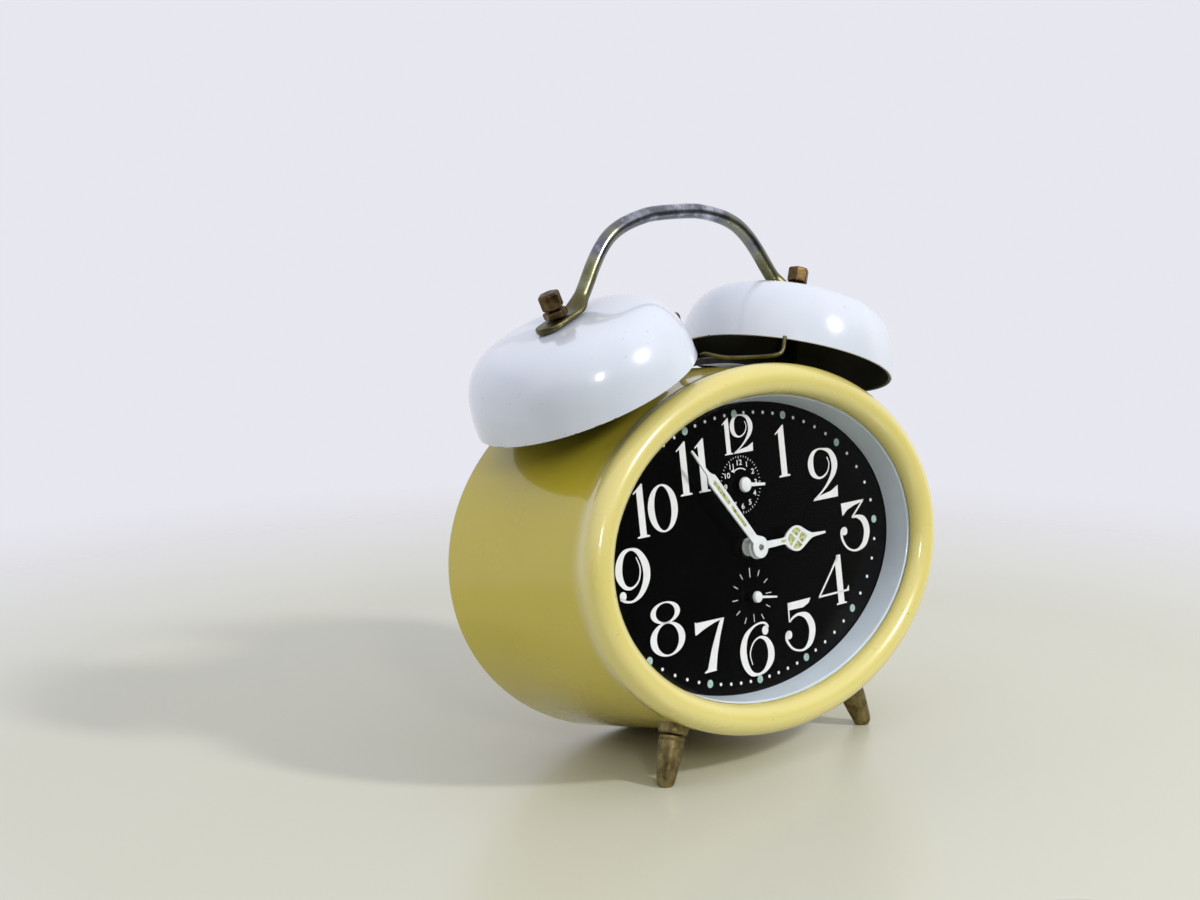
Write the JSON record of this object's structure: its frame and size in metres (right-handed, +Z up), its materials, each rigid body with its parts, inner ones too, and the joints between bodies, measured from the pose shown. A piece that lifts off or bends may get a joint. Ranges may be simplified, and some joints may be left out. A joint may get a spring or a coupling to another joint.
{
  "type": "twin-bell alarm clock",
  "caption": "Wind-up alarm clock with an oval drum case leaning back on splayed feet, a deep dial, twin domed bells, a hammer and an arched carrying handle.",
  "frame": {"origin": "middle of the outer box, on the surface that the clock stands on", "axes": "+Z up, -Y the way the dial faces, +X to the reader's right"},
  "size_m": [0.1298, 0.0688, 0.136],
  "materials": {
    "yellow_enamel": "glossy pale yellow enamel",
    "grey_enamel": "satin blue-grey enamel",
    "dial_black": "gloss black with white print",
    "crystal_glass": "clear polished glass",
    "white_enamel": "glossy cool white enamel, black inside",
    "black_enamel": "gloss black enamel",
    "worn_nickel": "polished nickel with brown and green tarnish",
    "brown_brass": "dark aged brass",
    "hand_white": "matt white with pale green luminous paint",
    "steel": "plain steel",
    "brass": "dull brass"
  },
  "bodies": {
    "case": {"case_drum": "yellow_enamel", "rear_cover": "yellow_enamel", "dial_ring": "grey_enamel", "dial_plate": "dial_black", "crystal": "crystal_glass", "left_bell": "white_enamel", "right_bell": "white_enamel", "left_bell_post": "black_enamel", "right_bell_post": "black_enamel", "bell_bridge": "black_enamel", "carry_handle": "worn_nickel", "strike_wire": "worn_nickel", "left_lug_nut": "brown_brass", "right_lug_nut": "brown_brass", "left_cap_nut": "brown_brass", "right_cap_nut": "brown_brass", "left_foot": "brown_brass", "right_foot": "brown_brass", "left_foot_collar": "brown_brass", "right_foot_collar": "brown_brass", "cover_screw_1": "brass", "cover_screw_2": "brass", "front_plate": "brass", "rear_plate": "brass", "pillar_1": "brass", "pillar_2": "brass", "pillar_3": "brass", "pillar_4": "brass", "time_mainspring": "steel", "alarm_mainspring": "steel", "hairspring": "steel"},
    "minute_set": {"minute_hand": "hand_white", "centre_arbor": "steel", "time_set_knob": "brass"},
    "minute_wheel": {"minute_wheel": "brass"},
    "hour_set": {"hour_hand": "hand_white", "hour_wheel": "brass"},
    "alarm_cam": {"alarm_cam_wheel": "brass"},
    "seconds_set": {"seconds_hand": "hand_white", "fourth_wheel": "brass"},
    "third_wheel": {"third_wheel": "brass"},
    "centre_wheel": {"centre_wheel": "brass"},
    "time_great_wheel": {"time_great_wheel": "brass"},
    "escape_wheel": {"escape_wheel": "brass"},
    "pallet_lever": {"pallet_lever": "steel"},
    "balance": {"balance_wheel": "brass"},
    "regulator": {"regulator_lever": "steel"},
    "alarm_set": {"alarm_hand": "hand_white", "alarm_arbor": "steel", "alarm_set_knob": "brass"},
    "time_key": {"time_winding_key": "brass", "time_winding_arbor": "steel"},
    "alarm_key": {"alarm_winding_key": "brass", "alarm_winding_arbor": "steel"},
    "strike_wheel": {"strike_wheel": "brass"},
    "alarm_great_wheel": {"alarm_great_wheel": "brass"},
    "hammer": {"hammer": "steel"},
    "alarm_stop": {"alarm_stop_button": "brass"}
  },
  "joints": [
    {"name": "minute_turn", "type": "hinge", "parent": "case", "child": "minute_set", "pos_m": [0, -0.00303, 0.04974], "axis": [0, 0.9891, -0.1475], "continuous": true},
    {"name": "minute_wheel_turn", "type": "hinge", "parent": "case", "child": "minute_wheel", "pos_m": [-0.0068, -0.00403, 0.04301], "axis": [0, 0.9891, -0.1475], "continuous": true},
    {"name": "hour_turn", "type": "hinge", "parent": "case", "child": "hour_set", "pos_m": [0, -0.00303, 0.04974], "axis": [0, 0.9891, -0.1475], "continuous": true},
    {"name": "alarm_cam_turn", "type": "hinge", "parent": "case", "child": "alarm_cam", "pos_m": [0, -0.00071, 0.06526], "axis": [0, 0.9891, -0.1475], "continuous": true},
    {"name": "seconds_turn", "type": "hinge", "parent": "case", "child": "seconds_set", "pos_m": [0, -0.00489, 0.03727], "axis": [0, 0.9891, -0.1475], "continuous": true},
    {"name": "third_wheel_turn", "type": "hinge", "parent": "case", "child": "third_wheel", "pos_m": [0.00897, -0.00427, 0.04141], "axis": [0, 0.9891, -0.1475], "continuous": true},
    {"name": "centre_wheel_turn", "type": "hinge", "parent": "case", "child": "centre_wheel", "pos_m": [0, -0.00303, 0.04974], "axis": [0, 0.9891, -0.1475], "continuous": true},
    {"name": "time_great_turn", "type": "hinge", "parent": "case", "child": "time_great_wheel", "pos_m": [0.022, -0.00391, 0.0438], "axis": [0, 0.9891, -0.1475], "continuous": true},
    {"name": "escape_turn", "type": "hinge", "parent": "case", "child": "escape_wheel", "pos_m": [0.0065, -0.00571, 0.03173], "axis": [0, 0.9891, -0.1475], "continuous": true},
    {"name": "pallet_swing", "type": "hinge", "parent": "case", "child": "pallet_lever", "pos_m": [-0.0012, -0.00604, 0.02956], "axis": [0, 0.9891, -0.1475], "range_deg": [-6, 6]},
    {"name": "balance_swing", "type": "hinge", "parent": "case", "child": "balance", "pos_m": [-0.011, -0.00598, 0.02995], "axis": [0, 0.9891, -0.1475], "range_deg": [-150, 150]},
    {"name": "regulator_swing", "type": "hinge", "parent": "case", "child": "regulator", "pos_m": [-0.011, -0.00598, 0.02995], "axis": [0, 0.9891, -0.1475], "range_deg": [-24, 24]},
    {"name": "alarm_set_turn", "type": "hinge", "parent": "case", "child": "alarm_set", "pos_m": [0, -0.00071, 0.06526], "axis": [0, 0.9891, -0.1475], "continuous": true},
    {"name": "time_key_turn", "type": "hinge", "parent": "case", "child": "time_key", "pos_m": [0.022, -0.00391, 0.0438], "axis": [0, 0.9891, -0.1475], "continuous": true},
    {"name": "alarm_key_turn", "type": "hinge", "parent": "case", "child": "alarm_key", "pos_m": [-0.022, -0.00391, 0.0438], "axis": [0, 0.9891, -0.1475], "continuous": true},
    {"name": "strike_turn", "type": "hinge", "parent": "case", "child": "strike_wheel", "pos_m": [-0.014, -0.00191, 0.05725], "axis": [0, 0.9891, -0.1475], "continuous": true},
    {"name": "alarm_great_turn", "type": "hinge", "parent": "case", "child": "alarm_great_wheel", "pos_m": [-0.022, -0.00391, 0.0438], "axis": [0, 0.9891, -0.1475], "continuous": true},
    {"name": "hammer_swing", "type": "hinge", "parent": "case", "child": "hammer", "pos_m": [0, 0.00066, 0.07446], "axis": [0, 0.9891, -0.1475], "range_deg": [-1, 19]},
    {"name": "alarm_stop_slide", "type": "slide", "parent": "case", "child": "alarm_stop", "axis": [1, 0, 0], "range_m": [0, 0.006]}
  ],
  "couplings": [
    {"joint": "minute_wheel_turn", "follows": "minute_turn", "ratio": -0.33333},
    {"joint": "hour_turn", "follows": "minute_turn", "ratio": 0.083333},
    {"joint": "alarm_cam_turn", "follows": "minute_turn", "ratio": -0.083333},
    {"joint": "third_wheel_turn", "follows": "seconds_turn", "ratio": -0.13333},
    {"joint": "centre_wheel_turn", "follows": "seconds_turn", "ratio": 0.016667},
    {"joint": "time_great_turn", "follows": "seconds_turn", "ratio": -0.002778},
    {"joint": "escape_turn", "follows": "seconds_turn", "ratio": -10},
    {"joint": "alarm_great_turn", "follows": "strike_turn", "ratio": -0.2}
  ]
}
